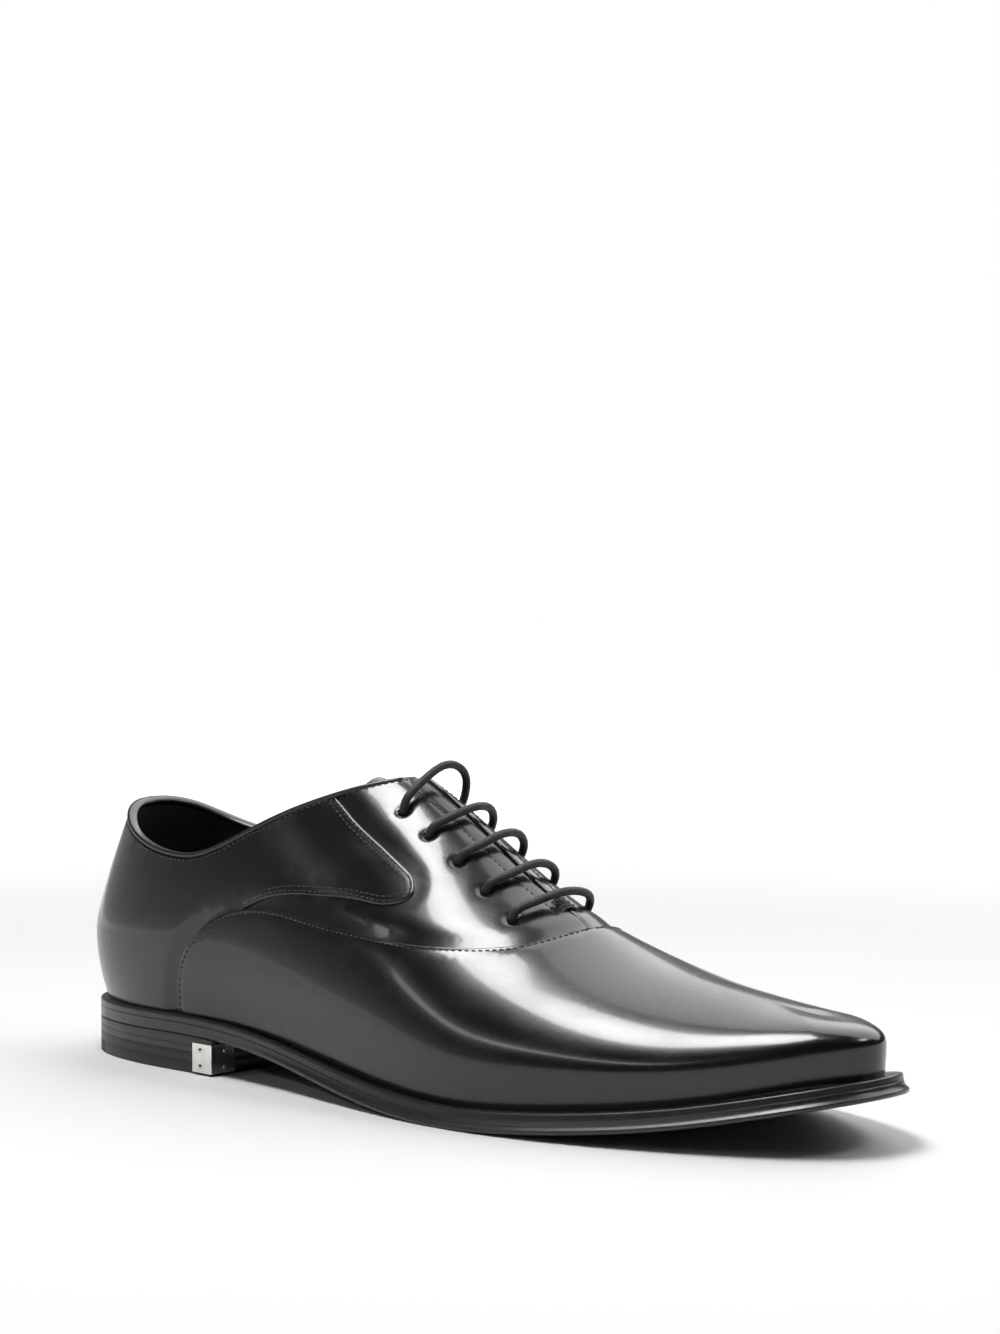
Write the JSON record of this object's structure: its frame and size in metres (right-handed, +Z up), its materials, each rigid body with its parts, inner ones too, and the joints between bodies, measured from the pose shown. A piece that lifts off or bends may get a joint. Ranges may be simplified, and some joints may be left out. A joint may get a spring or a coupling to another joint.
{
  "type": "leather oxford shoe",
  "caption": "Right-foot plain-toe oxford in polished black leather with closed straight lacing, welted leather sole, stacked heel and a small metal plate at the heel's corner.",
  "frame": {"origin": "on the floor, under the middle of the box of the sole", "axes": "+X from heel to toe, +Y to the inner side of the foot, +Z up"},
  "size_m": [0.3071, 0.1038, 0.0992],
  "materials": {
    "upper_leather": "brushed-off high-gloss black calf",
    "binding_leather": "black calf, satin",
    "lining_leather": "black lining leather, matt",
    "stiffener_board": "fibre board, matt",
    "lace_cotton": "round waxed cotton cord, black",
    "aglet_plastic": "black film, gloss",
    "thread": "waxed black thread",
    "eyelet_metal": "plain",
    "insole_leather": "vegetable tanned, matt",
    "cork": "cork granules in binder, matt",
    "shank_steel": "spring steel",
    "welt_leather": "black edge ink, satin",
    "sole_leather": "black edge ink, satin, waxed",
    "heel_leather": "black edge ink, satin",
    "heel_rubber": "black rubber, matt",
    "nail_steel": "plain",
    "corner_metal": "polished nickel silver"
  },
  "bodies": {
    "shoe": {"vamp": "upper_leather", "facing_lateral": "upper_leather", "facing_medial": "upper_leather", "quarter_lateral": "upper_leather", "quarter_medial": "upper_leather", "topline_binding": "binding_leather", "vamp_lining": "lining_leather", "quarter_lining_lateral": "lining_leather", "quarter_lining_medial": "lining_leather", "sock_lining": "lining_leather", "heel_counter": "stiffener_board", "toe_puff": "stiffener_board", "side_stiffener_lateral": "stiffener_board", "side_stiffener_medial": "stiffener_board", "eyelet_stay_lateral": "stiffener_board", "eyelet_stay_medial": "stiffener_board", "lace": "lace_cotton", "aglets": "aglet_plastic", "throat_bar_tack": "thread", "blind_eyelets": "eyelet_metal", "insole": "insole_leather", "cork_filler": "cork", "shank": "shank_steel", "welt": "welt_leather", "outsole": "sole_leather", "heel_lift_1": "heel_leather", "heel_lift_2": "heel_leather", "heel_lift_3": "heel_leather", "top_piece_leather": "heel_leather", "top_piece_rubber": "heel_rubber", "heel_nails": "nail_steel", "heel_corner_plate": "corner_metal", "plate_pins": "corner_metal"},
    "tongue_body": {"tongue": "upper_leather", "tongue_lining": "lining_leather"}
  },
  "joints": [
    {"name": "tongue_hinge", "type": "hinge", "parent": "shoe", "child": "tongue_body", "pos_m": [0.0395, 0.0021, 0.0475], "axis": [0, -1, 0], "range_deg": [0, 12]}
  ]
}
